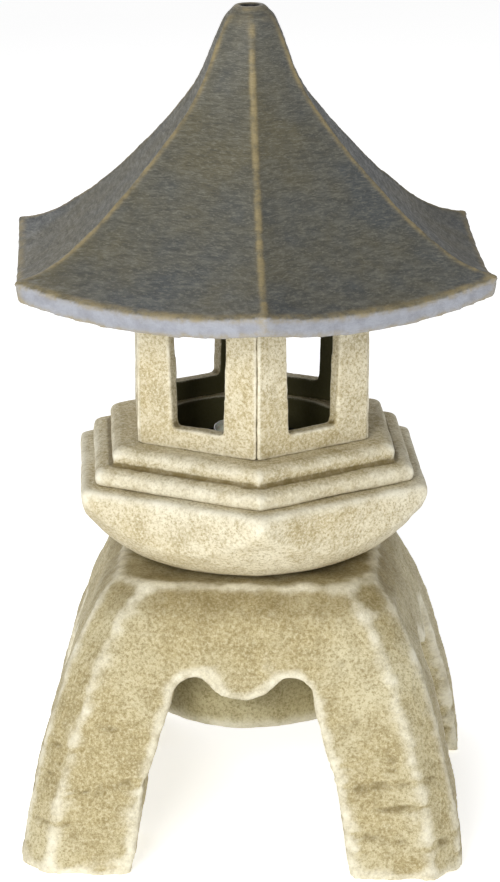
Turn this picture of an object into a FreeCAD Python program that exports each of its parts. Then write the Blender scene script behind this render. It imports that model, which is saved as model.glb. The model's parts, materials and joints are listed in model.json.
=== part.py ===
"""Garden lantern of cast stone: four-legged base, bowl, stepped plinth, six window panels,
a lift-off hexagonal roof with turned-up eaves, and the tea light that it shelters.

Millimetres, +Z up. The origin is on the ground under the lantern's axis, and one corner of
the hexagon points along -Y.
"""
import FreeCAD, Part
import math
import os

import Sketcher

from FreeCAD import Placement, Rotation, Vector

DRIVING = {
    "base_foot_half": 114.0,      # half the width of the base at the ground
    "base_top_half": 66.0,        # half the width of the base under the bowl
    "base_height": 142.0,
    "base_corner": 15.0,          # chamfer on the base's four upright corners
    "base_turn": -5.5,            # how far the square base is turned under the hexagon
    "arch_foot_half": 57.0,
    "arch_crown_half": 31.0,
    "arch_crown_level": 101.0,
    "lobe_drop": 12.0,            # how far the apron's middle lobe hangs below the crown
    "cavity_radius": 60.0,
    "cavity_level": 118.0,
    "plug_radius": 57.0,
    "plug_level": 57.0,
    "bowl_rim": 103.0,            # to a corner of the hexagon
    "bowl_height": 48.0,
    "bowl_foot_radius": 52.0,
    "step_height": 9.5,
    "lower_step": 94.5,
    "upper_step": 84.0,
    "well_radius": 49.0,
    "room_corner": 68.6,
    "room_height": 83.0,
    "wall": 8.0,
    "seam": 0.25,                 # gap that shows as the upright seam at each corner
    "sill": 11.0,
    "window_height": 53.0,
    "window_foot": 29.0,
    "window_head": 33.0,
    "roof_gap": 0.3,
    "eave_corner": 139.0,
    "eave_thickness": 11.0,
    "eave_drop": 6.0,              # how far the eave hangs below the seat
    "eave_lift": 7.0,             # how far the corners of the eave turn up
    "lantern_height": 430.0,
    "vent_radius": 4.5,
    "collar_clearance": 0.9,
    "collar_depth": 7.0,
    "tray_radius": 41.0,
    "cup_radius": 19.0,
    "cup_height": 15.0,
    "cup_wall": 0.6,
    "wax_height": 12.0,
    "wick_radius": 0.9,
    "wick_height": 9.0,
}

SIDES = 6
SIDE_ANGLE = 360.0 / SIDES
FLAT = math.cos(math.radians(SIDE_ANGLE / 2))   # apothem of a hexagon with a corner radius of 1
FIRST_CORNER = -90.0

doc = FreeCAD.newDocument("stone_lantern")
sheet = doc.addObject("Spreadsheet::Sheet", "dims")
for row, (alias, value) in enumerate(DRIVING.items(), start=1):
    sheet.set(f"A{row}", alias)
    sheet.set(f"B{row}", str(value))
    sheet.setAlias(f"B{row}", alias)
doc.recompute()

subparts = []


def dim(alias):
    """A driving dimension, read back from the sheet."""
    return float(sheet.get(alias))


def bind(obj, **expressions):
    """Ties properties to expressions on the sheet; z stands for the placement's height."""
    for name, expression in expressions.items():
        target = ".Placement.Base.z" if name == "z" else name
        obj.setExpression(target, expression)
    return obj


def keep(obj, label):
    """Marks an object as a sub-part that is written to its own file."""
    obj.Label = label
    subparts.append(obj)
    return obj


def hexagon(name, corner, level):
    """A hexagonal section whose first corner points along -Y."""
    section = doc.addObject("Part::RegularPolygon", name)
    section.Polygon = SIDES
    section.Placement = Placement(Vector(), Rotation(Vector(0, 0, 1), FIRST_CORNER))
    return bind(section, Circumradius=corner, z=level)


def loft(name, sections, ruled=True):
    solid = doc.addObject("Part::Loft", name)
    solid.Sections = sections
    solid.Solid = True
    solid.Ruled = ruled
    return solid


def cylinder(name, radius, height, level):
    return bind(doc.addObject("Part::Cylinder", name), Radius=radius, Height=height, z=level)


def cut(name, base, tool):
    result = doc.addObject("Part::Cut", name)
    result.Base = base
    result.Tool = tool
    return result


def plane_sketch(body, name, role, offset=None):
    """A sketch on one of the body's own origin planes, raised by an expression if one is given."""
    sketch = body.newObject("Sketcher::SketchObject", name)
    plane = next(f for f in body.Origin.OriginFeatures if f.Role == role)
    sketch.AttachmentSupport = [(plane, "")]
    sketch.MapMode = "FlatFace"
    if offset:
        sketch.setExpression(".AttachmentOffset.Base.z", offset)
    return sketch


def draw(sketch, segments):
    """Adds a closed outline; a segment is (start, end) or (start, middle, end) for an arc."""
    for points in segments:
        corners = [Vector(x, y, 0) for x, y in points]
        if len(corners) == 2:
            sketch.addGeometry(Part.LineSegment(*corners), False)
        else:
            sketch.addGeometry(Part.Arc(*corners), False)


def outline(points):
    """Straight segments round a closed list of points."""
    return list(zip(points, points[1:] + points[:1]))


# ---------------------------------------------------------------- four-legged base

def chamfered_square(half, corner):
    inner = half - corner
    return [
        (inner, -half), (half, -inner), (half, inner), (inner, half),
        (-inner, half), (-half, inner), (-half, -inner), (-inner, -half),
    ]


def make_base():
    """A splayed square shell with a lobed arch in each side and a round cavity underneath."""
    body = doc.addObject("PartDesign::Body", "leg_base")
    foot = dim("base_foot_half")
    spread = foot - dim("base_top_half")
    # (height, how far drawn in), each a fraction of the whole
    flare = [(0.0, 0.0), (0.25, 0.10), (0.55, 0.33), (0.74, 0.52), (0.91, 0.76), (1.0, 1.0)]
    sections = []
    for index, (rise, draw_in) in enumerate(flare):
        sketch = plane_sketch(body, f"base_section_{index}", "XY_Plane",
                              f"dims.base_height * {rise}")
        draw(sketch, outline(chamfered_square(foot - spread * draw_in, dim("base_corner"))))
        sections.append(sketch)
    shell = body.newObject("PartDesign::AdditiveLoft", "base_shell")
    shell.Profile = sections[0]
    shell.Sections = sections[1:]
    shell.Ruled = True
    for role in ("XZ_Plane", "YZ_Plane"):
        sketch = plane_sketch(body, f"arch_{role[:2]}", role)
        draw(sketch, arch_outline())
        arch = body.newObject("PartDesign::Pocket", f"arch_cut_{role[:2]}")
        arch.Profile = sketch
        arch.Type = "ThroughAll"
        arch.Midplane = True
    hollow = plane_sketch(body, "cavity", "XY_Plane")
    hollow.addGeometry(Part.Circle(Vector(), Vector(0, 0, 1), dim("cavity_radius")), False)
    hollow.addConstraint(Sketcher.Constraint("Radius", 0, dim("cavity_radius")))
    hollow.setExpression("Constraints[0]", "dims.cavity_radius")
    pocket = body.newObject("PartDesign::Pocket", "cavity_cut")
    pocket.Profile = hollow
    pocket.setExpression("Length", "dims.cavity_level")
    pocket.Reversed = True
    body.setExpression(".Placement.Rotation.Angle", "dims.base_turn")
    return keep(body, "leg_base")


def arch_outline():
    """Trapezoid arch whose crown hangs in a middle lobe between two coves."""
    foot, crown = dim("arch_foot_half"), dim("arch_crown_half")
    level, drop = dim("arch_crown_level"), dim("lobe_drop")
    below = 5.0
    knee = (0.86 * foot, 0.45 * level)
    spring = (crown + 0.09 * foot, 0.86 * level)
    cusp = (0.62 * crown, level - 0.2 * drop)
    right = [
        ((foot, -below), knee),
        (knee, spring),
        (spring, (0.98 * crown, 0.975 * level), cusp),
    ]
    left = [tuple((-x, y) for x, y in reversed(points)) for points in right]
    lobe = [(cusp, (0.0, level - drop), (-cusp[0], cusp[1]))]
    floor = [((-foot, -below), (foot, -below))]
    return right + lobe + list(reversed(left)) + floor


def make_plug():
    """The round plug that closes the cavity and shows under the arches."""
    drum = cylinder("plug_drum", "dims.plug_radius", "dims.cavity_level - dims.plug_level",
                    "dims.plug_level")
    rounded = doc.addObject("Part::Fillet", "base_plug")
    rounded.Base = drum
    doc.recompute()
    bottom = [
        number for number, edge in enumerate(drum.Shape.Edges, start=1)
        if edge.Closed and edge.BoundBox.ZMax < dim("plug_level") + 1.0
    ]
    edge_radius = 7.0
    rounded.Edges = [(number, edge_radius, edge_radius) for number in bottom]
    return keep(rounded, "base_plug")


# ---------------------------------------------------------------- bowl and plinth

def make_bowl():
    """A round dish cut by a hexagon: six-sided at the rim, round where it meets the base."""
    top = "dims.base_height + dims.bowl_height"
    hexagons = [
        hexagon("bowl_hex_low", "dims.bowl_rim - 8", "dims.base_height"),
        hexagon("bowl_hex_middle", "dims.bowl_rim - 1", f"{top} - 10"),
        hexagon("bowl_hex_high", "dims.bowl_rim", f"{top} - 4"),
        hexagon("bowl_hex_top", "dims.bowl_rim - 1.5", top),
    ]
    six_sided = loft("bowl_six_sided", hexagons)
    body = doc.addObject("PartDesign::Body", "bowl_round")
    sketch = plane_sketch(body, "bowl_profile", "XZ_Plane")
    low, high = dim("base_height"), dim("base_height") + dim("bowl_height")
    foot, rim = dim("bowl_foot_radius"), dim("bowl_rim") + 1.0
    belly = (0.88 * rim, low + 0.58 * dim("bowl_height"))
    draw(sketch, [
        ((0, low), (foot, low)),
        ((foot, low), (0.76 * rim, low + 0.3 * dim("bowl_height")), belly),
        (belly, (0.965 * rim, low + 0.8 * dim("bowl_height")), (rim, high)),
        ((rim, high), (0, high)),
        ((0, high), (0, low)),
    ])
    turned = body.newObject("PartDesign::Revolution", "bowl_turned")
    turned.Profile = sketch
    turned.ReferenceAxis = (sketch, ["V_Axis"])
    turned.Angle = 360
    bowl = doc.addObject("Part::Common", "bowl")
    bowl.Base = body
    bowl.Tool = six_sided
    return keep(bowl, "bowl")


def make_plinth():
    """Two hexagonal steps, each with a rounded nose over a small hollow, round a central well."""
    nose = [(0.0, -3.0), (0.12, -0.9), (0.35, 0.0), (0.62, 0.0), (0.85, -1.6), (1.0, -5.0)]
    sections = []
    for step, corner in enumerate(("dims.lower_step", "dims.upper_step")):
        floor = f"dims.base_height + dims.bowl_height + {step} * dims.step_height"
        for index, (rise, inset) in enumerate(nose):
            lift = 0.02 if index == 0 and step else 0.0
            sections.append(hexagon(f"step_{step}_{index}", f"{corner} + {inset}",
                                    f"{floor} + {rise + lift} * dims.step_height"))
    steps = loft("plinth_steps", sections)
    well = cylinder("plinth_well", "dims.well_radius", "dims.step_height * 4",
                    "dims.base_height + dims.bowl_height - dims.step_height")
    return keep(cut("stepped_plinth", steps, well), "stepped_plinth")


# ---------------------------------------------------------------- window panels

def make_panel(index):
    """One wall of the light room, mitred at both ends, with a window narrowing to its sill."""
    body = doc.addObject("PartDesign::Body", f"window_panel_{index}")
    corner, wall = dim("room_corner"), dim("wall")
    outer = corner * FLAT
    inner = outer - wall
    half = math.tan(math.radians(SIDE_ANGLE / 2))
    seam = dim("seam") / 2
    floor = "dims.base_height + dims.bowl_height + 2 * dims.step_height"
    plan = plane_sketch(body, f"panel_plan_{index}", "XY_Plane", floor)
    draw(plan, outline([
        (inner, -inner * half + seam), (outer, -outer * half + seam),
        (outer, outer * half - seam), (inner, inner * half - seam),
    ]))
    wall_pad = body.newObject("PartDesign::Pad", f"panel_wall_{index}")
    wall_pad.Profile = plan
    wall_pad.setExpression("Length", "dims.room_height")
    sill = dim("base_height") + dim("bowl_height") + 2 * dim("step_height") + dim("sill")
    head = sill + dim("window_height")
    window = plane_sketch(body, f"window_{index}", "YZ_Plane")
    draw(window, outline([
        (-dim("window_foot") / 2, sill), (dim("window_foot") / 2, sill),
        (dim("window_head") / 2, head), (-dim("window_head") / 2, head),
    ]))
    opening = body.newObject("PartDesign::Pocket", f"window_cut_{index}")
    opening.Profile = window
    opening.Type = "ThroughAll"
    opening.Reversed = True
    turn = SIDE_ANGLE * index
    body.Placement = Placement(Vector(), Rotation(Vector(0, 0, 1), turn))
    return keep(body, f"window_panel_{index + 1}")


# ---------------------------------------------------------------- roof

def hexagon_reach(angle):
    """How far a hexagon of corner radius 1 reaches at an angle counted from a corner."""
    within = angle % SIDE_ANGLE - SIDE_ANGLE / 2
    return FLAT / math.cos(math.radians(within))


def roof_profile(angle):
    """The closed upright section of the roof at one angle counted from a corner."""
    room_top = dim("base_height") + dim("bowl_height") + 2 * dim("step_height") + dim("room_height")
    seat = room_top + dim("roof_gap")
    eave, top, vent = dim("eave_corner"), dim("lantern_height"), dim("vent_radius")
    nearness = abs(angle % SIDE_ANGLE - SIDE_ANGLE / 2) / (SIDE_ANGLE / 2)
    lift = dim("eave_lift") * nearness ** 2.5
    collar_out = dim("room_corner") - dim("wall") / FLAT - dim("collar_clearance")
    collar_in = collar_out - 6.0

    def at(radius, level, six_sided=1.0, lifted=0.0):
        reach = radius * (1 - six_sided + six_sided * hexagon_reach(angle))
        turn = math.radians(angle + FIRST_CORNER)
        return Vector(reach * math.cos(turn), reach * math.sin(turn), level + lifted * lift)

    eave_foot = seat - dim("eave_drop")
    eave_top = eave_foot + dim("eave_thickness")
    rise = top - eave_top
    slope = [
        at(0.078 * eave, top - 3.5, 0.10),
        at(0.115 * eave, top - 0.085 * rise, 0.35),
        at(0.165 * eave, top - 0.20 * rise, 0.75),
        at(0.235 * eave, top - 0.335 * rise),
        at(0.345 * eave, top - 0.475 * rise),
        at(0.505 * eave, top - 0.645 * rise, lifted=0.05),
        at(0.685 * eave, top - 0.81 * rise, lifted=0.15),
        at(0.850 * eave, top - 0.93 * rise, lifted=0.45),
        at(eave, eave_top, lifted=1.0),
    ]
    skin = Part.BSplineCurve()
    skin.interpolate(slope, Parameters=[index / (len(slope) - 1) for index in range(len(slope))])
    corners = [
        at(eave, eave_top, lifted=1.0),
        at(eave - 2.0, eave_foot, lifted=1.0),
        at(eave - 9.0, eave_foot + 1.0, lifted=0.8),
        at(dim("room_corner") + 4.0, seat),
        at(collar_out, seat),
        at(collar_out, seat - dim("collar_depth")),
        at(collar_in, seat - dim("collar_depth")),
        at(collar_in, seat + 8.0),
        at(0.23 * eave, seat + 0.35 * rise),
        at(0.09 * eave, seat + 0.75 * rise, 0.5),
        at(vent, top - 0.08 * rise, 0.0),
        at(vent, top, 0.0),
        at(0.056 * eave, top, 0.0),
        at(0.078 * eave, top - 3.5, 0.10),
    ]
    edges = [skin.toShape()]
    edges += [Part.LineSegment(a, b).toShape() for a, b in zip(corners, corners[1:])]
    return Part.Wire(edges)


def make_roof():
    """The roof casting, lofted round the axis from its upright sections."""
    per_side = 6
    step = SIDE_ANGLE / per_side
    roof = doc.addObject("Part::Feature", "roof")
    profiles = [roof_profile(index * step) for index in range(SIDES * per_side)]
    shape = Part.makeLoft(profiles + profiles[:1], False, True)
    shell = Part.makeShell(shape.Faces)
    solid = Part.makeSolid(shell)
    if solid.Volume < 0:
        solid.reverse()
    roof.Shape = solid
    return keep(roof, "roof")


# ---------------------------------------------------------------- tea light and its tray

WELL_FLOOR = "dims.base_height + dims.bowl_height"


def make_tray():
    """A shallow steel tray on the floor of the well."""
    disc = cylinder("tray_disc", "dims.tray_radius", "5", WELL_FLOOR)
    hollow = cylinder("tray_hollow", "dims.tray_radius - 1.2", "5", f"{WELL_FLOOR} + 1.2")
    return keep(cut("candle_tray", disc, hollow), "candle_tray")


def make_tea_light():
    """Cup, wax and wick, which lift out together."""
    floor = f"{WELL_FLOOR} + 1.2 + 0.2"
    outside = cylinder("cup_outside", "dims.cup_radius", "dims.cup_height", floor)
    inside = cylinder("cup_inside", "dims.cup_radius - dims.cup_wall", "dims.cup_height",
                      f"{floor} + dims.cup_wall")
    keep(cut("tea_light_cup", outside, inside), "tea_light_cup")
    wax = cylinder("wax_block", "dims.cup_radius - dims.cup_wall", "dims.wax_height",
                   f"{floor} + dims.cup_wall")
    bore = cylinder("wick_bore", "dims.wick_radius", "dims.wax_height",
                    f"{floor} + dims.cup_wall + 2")
    keep(cut("candle_wax", wax, bore), "candle_wax")
    keep(cylinder("candle_wick", "dims.wick_radius", "dims.wax_height + dims.wick_height - 2",
                  f"{floor} + dims.cup_wall + 2"), "candle_wick")


def check_and_write():
    """Stops on any failed object, then writes each sub-part to its own file."""
    doc.recompute()
    failed = [obj.Name for obj in doc.Objects if {"Invalid", "Error"} & set(obj.State)]
    if failed:
        raise RuntimeError(f"objects failed to build: {failed}")
    os.makedirs("parts", exist_ok=True)
    for obj in subparts:
        if obj.Shape.isNull() or not obj.Shape.isValid():
            raise RuntimeError(f"{obj.Label} has no valid shape")
    for obj in subparts:
        obj.Shape.exportStep(f"parts/{obj.Label}.step")
        print(obj.Label, len(obj.Shape.Solids), round(obj.Shape.Volume), obj.Shape.BoundBox)


make_base()
make_plug()
make_bowl()
make_plinth()
for panel in range(SIDES):
    make_panel(panel)
make_roof()
make_tray()
make_tea_light()
check_and_write()
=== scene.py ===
"""Looks for the cast-stone garden lantern: each casting is worn and rounded from its CAD node,
then coloured by what its surface does, such as hollows, edges, ridges and the eave."""
import json
import math

import bmesh
import bpy
import numpy as np
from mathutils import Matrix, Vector, noise

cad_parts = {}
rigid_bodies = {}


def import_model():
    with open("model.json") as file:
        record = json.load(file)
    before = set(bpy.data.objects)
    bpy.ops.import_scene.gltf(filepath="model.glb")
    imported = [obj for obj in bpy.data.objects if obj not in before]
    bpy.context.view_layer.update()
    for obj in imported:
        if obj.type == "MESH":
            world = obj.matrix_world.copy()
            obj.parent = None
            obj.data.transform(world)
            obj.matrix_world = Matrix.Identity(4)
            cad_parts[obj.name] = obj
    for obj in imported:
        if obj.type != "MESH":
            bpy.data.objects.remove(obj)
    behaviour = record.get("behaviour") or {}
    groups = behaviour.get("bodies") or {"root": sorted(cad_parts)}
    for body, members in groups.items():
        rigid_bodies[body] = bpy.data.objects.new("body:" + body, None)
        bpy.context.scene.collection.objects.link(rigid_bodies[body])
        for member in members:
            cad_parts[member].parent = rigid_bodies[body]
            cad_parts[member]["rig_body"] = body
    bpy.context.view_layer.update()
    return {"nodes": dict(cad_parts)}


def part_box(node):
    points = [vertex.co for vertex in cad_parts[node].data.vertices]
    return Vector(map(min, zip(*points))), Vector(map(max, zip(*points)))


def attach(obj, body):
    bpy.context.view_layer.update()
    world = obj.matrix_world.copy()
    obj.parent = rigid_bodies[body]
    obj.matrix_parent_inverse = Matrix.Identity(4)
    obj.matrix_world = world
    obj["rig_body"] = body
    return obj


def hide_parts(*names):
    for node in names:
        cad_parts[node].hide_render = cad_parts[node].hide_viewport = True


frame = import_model()
MM = 0.001
SIDES = 6
SIDE_ANGLE = 2 * math.pi / SIDES
FLAT = math.cos(SIDE_ANGLE / 2)
PANELS = [f"window_panel_{number}" for number in range(1, SIDES + 1)]
WHITE = (1.0, 1.0, 1.0, 1.0)
LIGHTS_AIM_AT = (0, 0, 0.2)
WELD = 1e-6
KEPT, DRAWN = 0.4, 0.6               # a point's own share and its neighbours', each relaxing round
HOLLOW_FROM, HOLLOW_FULL = 0.08, 0.6     # how sunk a surface is, as a share of the patch's reach
EDGE_FROM, EDGE_FULL = 0.25, 1.1


# ---------------------------------------------------------------- camera, floor and light

def srgb(red, green, blue):
    """A display colour, 0 to 255, as linear light."""
    def linear(value):
        value /= 255
        return value / 12.92 if value <= 0.04045 else ((value + 0.055) / 1.055) ** 2.4
    return linear(red), linear(green), linear(blue), 1.0


def link(obj):
    bpy.context.scene.collection.objects.link(obj)
    return obj


def aim(obj, target):
    obj.rotation_euler = (Vector(target) - obj.location).to_track_quat("-Z", "Y").to_euler()


def set_camera():
    """A long lens, a little left of a roof corner and looking down on the lantern."""
    distance, azimuth, elevation = 1.8, math.radians(3.0), math.radians(17.5)
    data = bpy.data.cameras.new("camera")
    data.sensor_fit = "VERTICAL"
    data.sensor_height = 36.0
    data.lens = 139.8
    camera = link(bpy.data.objects.new("camera", data))
    target = Vector((0.0, 0.0, 0.1985))
    level = distance * math.cos(elevation)
    camera.location = target + Vector((
        -level * math.sin(azimuth), -level * math.cos(azimuth), distance * math.sin(elevation)))
    aim(camera, target)
    bpy.context.scene.camera = camera


def area_light(name, location, size, power):
    data = bpy.data.lights.new(name, "AREA")
    data.size = size
    data.energy = power
    light = link(bpy.data.objects.new(name, data))
    light.location = location
    aim(light, LIGHTS_AIM_AT)


def set_studio():
    world = bpy.data.worlds.new("studio")
    bpy.context.scene.world = world
    world.use_nodes = True
    background = world.node_tree.nodes["Background"]
    background.inputs["Color"].default_value = WHITE
    background.inputs["Strength"].default_value = 0.4
    area_light("key", location=(-0.55, -1.6, 0.85), size=0.6, power=22.0)
    area_light("back", location=(-0.3, 1.3, 1.2), size=0.9, power=5.0)
    bm = bmesh.new()
    bmesh.ops.create_grid(bm, x_segments=1, y_segments=1, size=6.0)
    mesh = bpy.data.meshes.new("floor")
    bm.to_mesh(mesh)
    bm.free()
    floor = link(bpy.data.objects.new("floor", mesh))
    paper = plain("floor_paper", colour=(0.93, 0.93, 0.93, 1.0), roughness=0.9)
    glow = paper.node_tree.nodes["Principled BSDF"]
    glow.inputs["Emission Color"].default_value = WHITE
    glow.inputs["Emission Strength"].default_value = 0.58
    floor.data.materials.append(paper)
    bpy.context.scene.view_settings.view_transform = "Standard"


# ---------------------------------------------------------------- material building

class Shader:
    """A short way to write a material's nodes."""

    def __init__(self, name):
        self.material = bpy.data.materials.new(name)
        self.material.use_nodes = True
        self.tree = self.material.node_tree
        self.surface = self.tree.nodes["Principled BSDF"]
        self.place = self.add("ShaderNodeTexCoord").outputs["Object"]

    def add(self, kind, **inputs):
        node = self.tree.nodes.new(kind)
        for name, value in inputs.items():
            self.put(node.inputs[name.replace("_", " ")], value)
        return node

    def put(self, socket, value):
        if isinstance(value, bpy.types.NodeSocket):
            self.tree.links.new(value, socket)
        else:
            socket.default_value = value

    def noise(self, scale, detail=4.0, roughness=0.6, where=None):
        node = self.add("ShaderNodeTexNoise", Vector=where or self.place, Scale=scale,
                        Detail=detail, Roughness=roughness)
        return node.outputs["Fac"]

    def strokes(self, stretch, detail, roughness):
        """Noise drawn out: the smaller the stretch along an axis, the longer its strokes."""
        node = self.add("ShaderNodeMapping", Vector=self.place, Scale=stretch)
        return self.noise(1.0, detail, roughness, node.outputs["Vector"])

    def span(self, value, low, high, to_low=0.0, to_high=1.0):
        """value carried from low..high to to_low..to_high, clamped."""
        node = self.tree.nodes.new("ShaderNodeMapRange")
        for name, entry in (("Value", value), ("From Min", low), ("From Max", high),
                            ("To Min", to_low), ("To Max", to_high)):
            self.put(node.inputs[name], entry)
        return node.outputs["Result"]

    def times(self, first, second):
        node = self.tree.nodes.new("ShaderNodeMath")
        node.operation = "MULTIPLY"
        self.put(node.inputs[0], first)
        self.put(node.inputs[1], second)
        return node.outputs["Value"]

    def attribute(self, name):
        node = self.tree.nodes.new("ShaderNodeAttribute")
        node.attribute_name = name
        return node.outputs["Fac"]

    def mix(self, amount, first, second):
        node = self.tree.nodes.new("ShaderNodeMix")
        node.data_type = "RGBA"
        self.put(node.inputs["Factor"], amount)
        colours = [socket for socket in node.inputs if socket.type == "RGBA"]
        self.put(colours[0], first)
        self.put(colours[1], second)
        return next(socket for socket in node.outputs if socket.type == "RGBA")

    def bump(self, height, distance, strength=1.0, under=None):
        node = self.add("ShaderNodeBump", Height=height, Distance=distance, Strength=strength)
        if under:
            self.put(node.inputs["Normal"], under)
        return node.outputs["Normal"]

    def finish(self, colour, roughness, normal=None):
        self.put(self.surface.inputs["Base Color"], colour)
        self.put(self.surface.inputs["Roughness"], roughness)
        if normal:
            self.put(self.surface.inputs["Normal"], normal)
        return self.material


def plain(name, colour, roughness):
    shader = Shader(name)
    grain = shader.noise(scale=90.0)
    shade = shader.mix(shader.span(grain, 0.3, 0.7, 0.0, 0.04), colour, (0.8, 0.8, 0.8, 1.0))
    return shader.finish(shade, roughness)


def pale_stone(name, cream, sand, olive):
    """Cast stone: cream where rubbed, sand with fine flecks, an olive wash in the hollows that is
    partly painted shade, and painted shade on inner faces.
    """
    wash_and_shade_olive, rubbed, inner_shade_colour = srgb(112, 96, 52), srgb(240, 235, 214), srgb(74, 70, 34)
    shader = Shader(name)
    clouds = shader.noise(scale=16.0, detail=5.0, roughness=0.62)
    mottle = shader.noise(scale=70.0, detail=7.0, roughness=0.75)
    flecks = shader.noise(scale=620.0, detail=4.0, roughness=0.85)
    grit = shader.noise(scale=1500.0, detail=2.0, roughness=0.6)
    colour = shader.mix(shader.span(clouds, 0.38, 0.58), cream, sand)
    olive_darkening = shader.times(shader.span(mottle, 0.46, 0.66), 0.55)
    colour = shader.mix(olive_darkening, colour, olive)
    speckle = shader.times(shader.span(flecks, 0.50, 0.61), 0.75)
    colour = shader.mix(speckle, colour, olive)
    chalk = shader.times(shader.span(flecks, 0.49, 0.38), 0.85)
    colour = shader.mix(chalk, colour, cream)
    # olive in the hollows: partly the paint wash, partly painted shade in the recesses
    wash_and_shade = shader.times(shader.attribute("hollow_wash_and_shade"), shader.span(mottle, 0.3, 0.6, 0.55, 1.0))
    colour = shader.mix(wash_and_shade, colour, wash_and_shade_olive)
    rub = shader.times(shader.attribute("edge"), shader.span(mottle, 0.35, 0.6, 0.9, 0.35))
    colour = shader.mix(rub, colour, rubbed)
    # painted shade: inner faces, undersides in the arch and the plug are darkened towards a dark
    # olive
    colour = shader.mix(shader.attribute("inner_shade"), colour, inner_shade_colour)
    coarse = shader.bump(mottle, 1.1 * MM, 0.7)
    fine = shader.bump(flecks, 0.5 * MM, 0.9, under=coarse)
    finest = shader.bump(grit, 0.12 * MM, 0.6, under=fine)
    roughness = shader.span(flecks, 0.35, 0.65, 0.5, 0.78)
    return shader.finish(colour, roughness, finest)


def dark_stone():
    """The roof's bronze-grey paint, brushed sideways, tan on the ridges, lilac-grey on the eave."""
    shader = Shader("dark_stone")
    clouds = shader.noise(scale=13.0, detail=5.0, roughness=0.6)
    strokes = shader.strokes((110.0, 110.0, 620.0), detail=5.0, roughness=0.7)
    hatch = shader.strokes((420.0, 420.0, 1500.0), detail=3.0, roughness=0.6)
    mottle = shader.noise(scale=120.0, detail=5.0, roughness=0.7)
    colour = shader.mix(shader.span(clouds, 0.4, 0.62), srgb(74, 77, 77), srgb(92, 87, 68))
    streaks = shader.times(shader.span(strokes, 0.48, 0.66), 0.4)
    colour = shader.mix(streaks, colour, srgb(122, 121, 110))
    dark = shader.times(shader.span(strokes, 0.48, 0.34), 0.45)
    colour = shader.mix(dark, colour, srgb(58, 59, 57))
    scratches = shader.times(shader.span(hatch, 0.52, 0.64), 0.35)
    colour = shader.mix(scratches, colour, srgb(136, 134, 120))
    band = shader.attribute("band")
    lilac = shader.mix(shader.span(mottle, 0.4, 0.64), srgb(150, 153, 161), srgb(132, 134, 141))
    colour = shader.mix(band, colour, lilac)
    ridge = shader.times(shader.attribute("ridge"), shader.span(mottle, 0.36, 0.6, 0.1, 0.8))
    colour = shader.mix(ridge, colour, srgb(138, 121, 78))
    rub = shader.times(shader.attribute("edge"), shader.span(mottle, 0.4, 0.6, 0.2, 0.75))
    colour = shader.mix(rub, colour, srgb(150, 136, 100))
    # painted shade: inner faces of the roof, inside the vent hole, are painted near black
    colour = shader.mix(shader.attribute("inner_shade"), colour, srgb(30, 29, 24))
    coarse = shader.bump(strokes, 0.9 * MM, 0.7)
    fine = shader.bump(hatch, 0.35 * MM, 0.7, under=coarse)
    roughness = shader.span(strokes, 0.35, 0.65, 0.62, 0.42)
    return shader.finish(colour, roughness, fine)


def metal(name, colour, roughness):
    """Drawn sheet metal with fine turning lines."""
    shader = Shader(name)
    lines = shader.strokes((160.0, 160.0, 2600.0), detail=3.0, roughness=0.6)
    smudge = shader.noise(scale=130.0, detail=4.0, roughness=0.6)
    shade = shader.mix(shader.span(smudge, 0.4, 0.65, 0.0, 0.35), colour, (0.25, 0.25, 0.25, 1.0))
    shader.surface.inputs["Metallic"].default_value = 1.0
    bump = shader.bump(lines, 0.05 * MM, 0.5)
    return shader.finish(shade, shader.span(smudge, 0.3, 0.7, roughness, roughness + 0.2), bump)


def wax():
    shader = Shader("wax")
    cloud = shader.noise(scale=160.0, detail=4.0, roughness=0.5)
    colour = shader.mix(shader.span(cloud, 0.35, 0.7), srgb(242, 236, 214), srgb(226, 215, 184))
    shader.surface.inputs["Subsurface Weight"].default_value = 0.25
    return shader.finish(colour, 0.38, shader.bump(cloud, 0.2 * MM, 0.5))


def wick():
    shader = Shader("wick")
    strands = shader.strokes((2600.0, 2600.0, 700.0), detail=2.0, roughness=0.6)
    height = shader.add("ShaderNodeSeparateXYZ", Vector=shader.place).outputs["Z"]
    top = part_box("candle_wick")[1].z
    char = shader.span(height, top - 5 * MM, top - 2 * MM)
    cotton = shader.mix(strands, srgb(214, 200, 160), srgb(150, 132, 92))
    return shader.finish(shader.mix(char, cotton, srgb(28, 24, 20)), 0.9,
                         shader.bump(strands, 0.2 * MM))


# ---------------------------------------------------------------- worn castings

def vertex_rows(mesh, name):
    flat = np.empty(len(mesh.vertices) * 3)
    mesh.vertices.foreach_get(name, flat)
    return flat.reshape(-1, 3)


def points_of(mesh):
    return vertex_rows(mesh, "co")


def normals_of(mesh):
    return vertex_rows(mesh, "normal")


def relaxed(mesh, points, rounds):
    """Each point drawn to the middle of its neighbours, several times over."""
    ends = np.empty(len(mesh.edges) * 2, dtype=int)
    mesh.edges.foreach_get("vertices", ends)
    one, other = ends.reshape(-1, 2).T
    count = len(points)
    degree = np.bincount(one, minlength=count) + np.bincount(other, minlength=count)
    degree = np.maximum(degree, 1)[:, None]
    for _ in range(rounds):
        total = np.empty_like(points)
        for axis in range(3):
            total[:, axis] = (np.bincount(one, points[other, axis], count)
                              + np.bincount(other, points[one, axis], count))
        points = KEPT * points + DRAWN * total / degree
    return points


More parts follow.
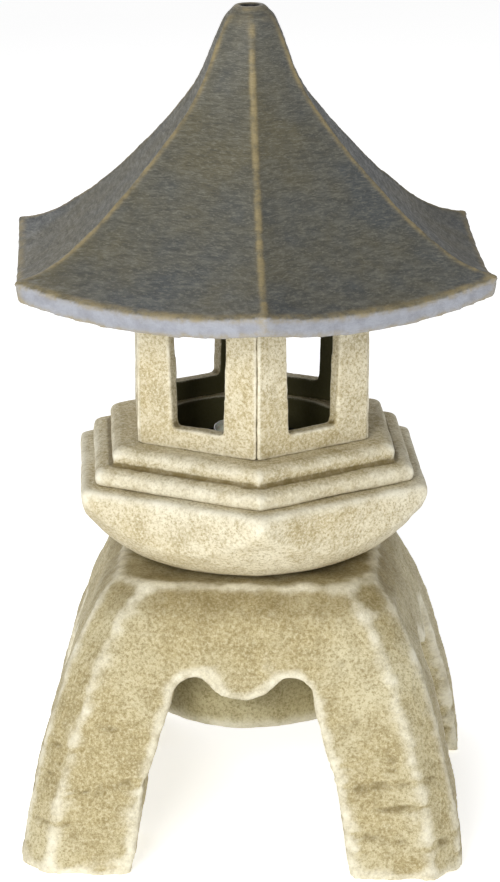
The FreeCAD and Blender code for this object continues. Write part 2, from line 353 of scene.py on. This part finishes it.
def remeshed(node, voxel, rounding):
    """The CAD node's mesh as an even net of quads with its sharp edges worn round."""
    mesh = frame["nodes"][node].data.copy()
    mesh.materials.clear()
    bm = bmesh.new()
    bm.from_mesh(mesh)
    bmesh.ops.remove_doubles(bm, verts=bm.verts, dist=WELD)
    bm.to_mesh(mesh)
    bm.free()
    piece = link(bpy.data.objects.new(f"{node}_net", mesh))
    modifier = piece.modifiers.new("net", "REMESH")
    modifier.mode = "VOXEL"
    modifier.voxel_size = voxel
    ready = piece.evaluated_get(bpy.context.evaluated_depsgraph_get())
    result = bpy.data.meshes.new_from_object(ready)
    bpy.data.objects.remove(piece)
    points = relaxed(result, points_of(result), rounding)
    result.vertices.foreach_set("co", points.ravel())
    result.update()
    return result


def fractal(points, scale, octaves, stretch=(1.0, 1.0, 1.0), seed=0.0):
    """Smooth noise, about -1 to 1, at every point."""
    factor = np.array(stretch) * scale
    return np.array([
        noise.fractal(Vector(place), 0.8, 2.1, octaves) for place in points * factor + seed
    ])


def uneven(points, height, scale, octaves=3, **how):
    """Smooth bumps, at most about height millimetres tall."""
    return height * MM * fractal(points, scale, octaves, **how)


def smooth_step(values, low, high):
    ratio = np.clip((values - low) / (high - low), 0.0, 1.0)
    return ratio * ratio * (3 - 2 * ratio)


def write_attribute(mesh, name, values):
    layer = mesh.attributes.new(name, "FLOAT", "POINT")
    layer.data.foreach_set("value", np.clip(values, 0.0, 1.0).astype(np.float32))


def write_relief(mesh, rounds, reach, olive_darkening=0.0):
    """Stores how hollow the surface is, raised where painted shade under another part is given, and
    how edge-like it is, over a small patch.
    """
    points = points_of(mesh)
    away = relaxed(mesh, points, rounds) - points
    sunk = np.einsum("ij,ij->i", away, normals_of(mesh))
    hollow_wash_and_shade = smooth_step(sunk, HOLLOW_FROM * reach, HOLLOW_FULL * reach)
    # the hollows' wash and painted shade, with any painted shade under another part added
    write_attribute(mesh, "hollow_wash_and_shade", np.maximum(hollow_wash_and_shade, olive_darkening))
    edge = smooth_step(-sunk, EDGE_FROM * reach, EDGE_FULL * reach)
    write_attribute(mesh, "edge", edge)


def place_casting(mesh, node, material):
    """Makes the mesh a piece that stands for its CAD node."""
    for polygon in mesh.polygons:
        polygon.use_smooth = True
    mesh.name = f"{node}_cast"
    mesh.materials.append(material)
    piece = link(bpy.data.objects.new(f"{node}_cast", mesh))
    body = frame["nodes"][node]["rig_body"]
    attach(piece, body)
    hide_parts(node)


def shift(mesh, amounts):
    """Moves the surface along its normals, and lets nothing sink into the ground."""
    points = points_of(mesh) + normals_of(mesh) * amounts[:, None]
    points[:, 2] = np.maximum(points[:, 2], 0.0)
    mesh.vertices.foreach_set("co", points.ravel())
    mesh.update()


def axis_distance(points):
    return np.linalg.norm(points[:, :2], axis=1)


def corner_angle(points):
    """The angle about the lantern's axis, from the hexagon corner along -Y."""
    return np.arctan2(points[:, 1], points[:, 0]) + math.pi / 2


def hexagon_reach(points):
    """How far a hexagon of corner radius 1, with a corner along -Y, reaches towards each point."""
    within = np.mod(corner_angle(points), SIDE_ANGLE) - SIDE_ANGLE / 2
    return FLAT / np.cos(within)


def inward(points, normals):
    """1 where the surface faces the lantern's axis."""
    radius = np.maximum(axis_distance(points), 1e-6)
    facing = np.einsum("ij,ij->i", points[:, :2], normals[:, :2]) / radius
    return smooth_step(-facing, 0.35, 0.75)


def make_base(material):
    """Legs cast to look hewn: soft undulations, fine pitting, and sideways tool marks low down."""
    marks_full, marks_end = 45 * MM, 85 * MM
    contact_shade_from, contact_shade_full = 118 * MM, 140 * MM
    shade_from, shade_full = 60 * MM, 90 * MM
    mesh = remeshed("leg_base", voxel=1.8 * MM, rounding=3)
    points = points_of(mesh)
    waves = uneven(points, height=1.1, scale=28.0)
    pits = uneven(points, height=0.35, scale=150.0, seed=3.0)
    marks = fractal(points, scale=26.0, octaves=3, stretch=(1.0, 1.0, 6.5), seed=7.0)
    near_ground = 1.0 - smooth_step(points[:, 2], marks_full, marks_end)
    grooves = -smooth_step(marks, 0.12, 0.55) * near_ground
    shift(mesh, waves + pits + 0.9 * MM * grooves)
    # painted shade: the top of the base, under the bowl, is darkened into the olive wash
    under_bowl_shade = 0.6 * smooth_step(points_of(mesh)[:, 2], contact_shade_from, contact_shade_full)
    write_relief(mesh, rounds=40, reach=1.3 * MM, olive_darkening=under_bowl_shade)
    points, normals = points_of(mesh), normals_of(mesh)
    # painted shade on the downward faces high inside the arch
    in_arch = smooth_step(points[:, 2], shade_from, shade_full)
    under = smooth_step(-normals[:, 2], 0.45, 0.9) * in_arch
    write_attribute(mesh, "inner_shade", 0.35 * under)
    place_casting(mesh, "leg_base", material)


def make_plug(material):
    mesh = remeshed("base_plug", voxel=1.7 * MM, rounding=4)
    shift(mesh, uneven(points_of(mesh), height=0.6, scale=60.0))
    write_relief(mesh, rounds=30, reach=1.3 * MM)
    # painted shade over the whole plug, which sits in the shadow of the arch
    write_attribute(mesh, "inner_shade", np.full(len(mesh.vertices), 0.25))
    place_casting(mesh, "base_plug", material)


def make_bowl(material):
    mesh = remeshed("bowl", voxel=1.4 * MM, rounding=4)
    points = points_of(mesh)
    swell = uneven(points, height=0.5, scale=34.0)
    shift(mesh, swell + uneven(points, height=0.15, scale=170.0))
    write_relief(mesh, rounds=40, reach=1.6 * MM)
    write_attribute(mesh, "inner_shade", np.zeros(len(mesh.vertices)))
    place_casting(mesh, "bowl", material)


def make_plinth(material):
    mesh = remeshed("stepped_plinth", voxel=0.9 * MM, rounding=4)
    points = points_of(mesh)
    swell = uneven(points, height=0.35, scale=60.0)
    shift(mesh, swell + uneven(points, height=0.10, scale=240.0, octaves=2))
    write_relief(mesh, rounds=30, reach=0.7 * MM)
    # painted shade on the faces turned towards the inside of the chamber
    write_attribute(mesh, "inner_shade", inward(points_of(mesh), normals_of(mesh)))
    place_casting(mesh, "stepped_plinth", material)


def make_panels(material):
    for number, node in enumerate(PANELS):
        mesh = remeshed(node, voxel=0.9 * MM, rounding=3)
        points = points_of(mesh)
        swell = uneven(points, height=0.28, scale=70.0, seed=number * 5.0)
        shift(mesh, swell + uneven(points, height=0.08, scale=260.0, octaves=2))
        write_relief(mesh, rounds=24, reach=0.9 * MM)
        # painted shade on the faces turned towards the inside of the chamber
        write_attribute(mesh, "inner_shade", inward(points_of(mesh), normals_of(mesh)))
        place_casting(mesh, node, material)


def make_roof(material):
    """Slightly uneven flanks with a raised seam down each ridge."""
    seam_width, tan_width, lip_width = 1.8 * MM, 1.5 * MM, 1.6 * MM
    mesh = remeshed("roof", voxel=1.4 * MM, rounding=3)
    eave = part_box("roof")[1].y
    points, normals = points_of(mesh), normals_of(mesh)
    reach = hexagon_reach(points)
    radius = axis_distance(points)
    past_ridge = np.mod(corner_angle(points) + SIDE_ANGLE / 2, SIDE_ANGLE) - SIDE_ANGLE / 2
    from_ridge = np.abs(past_ridge) * radius
    upper = smooth_step(normals[:, 2], 0.0, 0.25)
    skin = upper * smooth_step(radius, 8 * MM, 22 * MM)
    seam = np.exp(-(from_ridge / seam_width) ** 2) * skin
    flanks = uneven(points, height=0.6, scale=30.0) * skin
    strokes = uneven(points, height=0.16, scale=120.0, octaves=2, stretch=(1.0, 1.0, 3.0), seed=5.0)
    shift(mesh, 0.8 * MM * seam + flanks + strokes)
    write_relief(mesh, rounds=24, reach=0.9 * MM)

    # reach, radius and from_ridge stay those of the unworn roof
    points, normals = points_of(mesh), normals_of(mesh)
    rim = smooth_step(radius / reach, eave - 5 * MM, eave - 2.5 * MM)
    facing_out = 1.0 - smooth_step(normals[:, 2], 0.35, 0.6)
    facing_down = smooth_step(-normals[:, 2], 0.3, 0.7)
    soffit = facing_down * smooth_step(radius / reach, 55 * MM, 72 * MM)
    write_attribute(mesh, "band", np.maximum(rim * facing_out, soffit))
    lip = np.exp(-((radius / reach - eave + 3 * MM) / lip_width) ** 2) * upper
    tan_line = np.exp(-(from_ridge / tan_width) ** 2) * skin
    write_attribute(mesh, "ridge", np.maximum(tan_line, 0.8 * lip))
    # painted shade inside the vent hole at the top of the roof
    flue_shade = inward(points, normals) * (1.0 - smooth_step(radius, 60 * MM, 70 * MM))
    write_attribute(mesh, "inner_shade", flue_shade)
    place_casting(mesh, "roof", material)


def dress(node, material):
    """Gives a CAD node that stays as it is a better material."""
    mesh = frame["nodes"][node].data
    mesh.materials.clear()
    mesh.materials.append(material)


set_camera()
set_studio()
base_stone = pale_stone(
    "base_stone", cream=srgb(206, 196, 160), sand=srgb(181, 166, 122), olive=srgb(134, 117, 70))
stone = pale_stone(
    "pale_stone", cream=srgb(222, 214, 188), sand=srgb(198, 184, 146), olive=srgb(150, 133, 86))
shaded = pale_stone(
    "shaded_stone", cream=srgb(190, 180, 140), sand=srgb(166, 153, 108), olive=srgb(126, 113, 68))
make_base(base_stone)
make_plug(shaded)
make_bowl(stone)
make_plinth(stone)
make_panels(stone)
make_roof(dark_stone())
dress("candle_tray", metal("tray_steel", colour=(0.09, 0.09, 0.08, 1.0), roughness=0.4))
dress("tea_light_cup", metal("cup_aluminium", colour=(0.8, 0.8, 0.81, 1.0), roughness=0.28))
dress("candle_wax", wax())
dress("candle_wick", wick())
